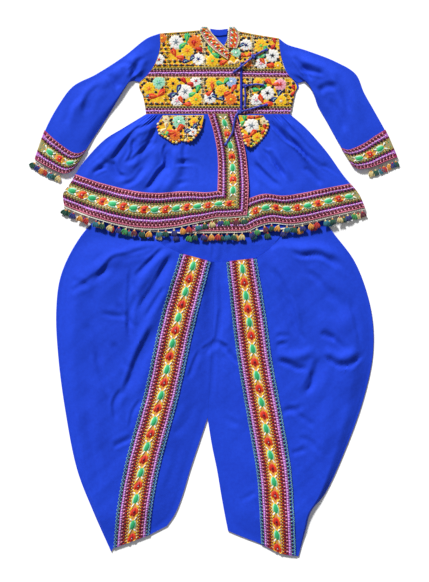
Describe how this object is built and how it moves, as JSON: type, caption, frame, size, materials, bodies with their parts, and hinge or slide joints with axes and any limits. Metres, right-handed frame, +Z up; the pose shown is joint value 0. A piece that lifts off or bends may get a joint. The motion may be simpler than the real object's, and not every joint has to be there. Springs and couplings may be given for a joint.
{
  "type": "child's kediyu and dhoti set",
  "caption": "Blue child's kediyu with embroidered yoke, lace bands, flaps, ties and tassels, laid flat over a draped dhoti with lace bands down its legs.",
  "frame": {"origin": "on the surface that the set lies on, under the middle of its outline", "axes": "+X towards the wearer's left, +Y towards the collar, +Z up from the surface"},
  "size_m": [0.7408, 1.0604, 0.0159],
  "materials": {
    "blue_cotton": "matte",
    "embroidery": "satin",
    "lace": "satin",
    "tassel_yarn": "matte",
    "cord": "satin"
  },
  "bodies": {
    "root": {"bodice_back": "blue_cotton", "collar_back": "blue_cotton", "collar_right": "embroidery", "collar_left": "embroidery", "yoke_right": "embroidery", "yoke_left": "embroidery", "chest_band_right": "lace", "chest_band_left": "lace", "chest_patch_right": "embroidery", "chest_patch_left": "embroidery", "waist_band_right": "lace", "waist_band_left": "lace", "placket_piping": "blue_cotton", "sleeve_right": "blue_cotton", "sleeve_left": "blue_cotton", "cuff_band_right": "lace", "cuff_band_left": "lace", "cuff_tassels_right": "tassel_yarn", "cuff_tassels_left": "tassel_yarn", "skirt_back": "blue_cotton", "skirt_back_band": "lace", "skirt_right": "blue_cotton", "skirt_left": "blue_cotton", "hem_band_right": "lace", "hem_band_left": "lace", "placket_band": "lace", "flap_right": "embroidery", "flap_left": "embroidery", "hem_tassels_right": "tassel_yarn", "hem_tassels_left": "tassel_yarn", "hem_tassels_back": "tassel_yarn", "tie_neck_knot": "cord", "tie_neck_end": "cord", "tie_neck_tail": "cord", "tie_side_knot": "cord", "tie_side_end": "cord", "tie_side_tail": "cord", "tie_waist_knot": "cord", "tie_waist_end": "cord", "tie_waist_tail": "cord", "dhoti_waistband": "blue_cotton", "dhoti_yoke_front": "blue_cotton", "dhoti_yoke_back": "blue_cotton", "dhoti_leg_right": "blue_cotton", "dhoti_leg_left": "blue_cotton", "dhoti_band_right": "lace", "dhoti_band_left": "lace"}
  },
  "joints": []
}
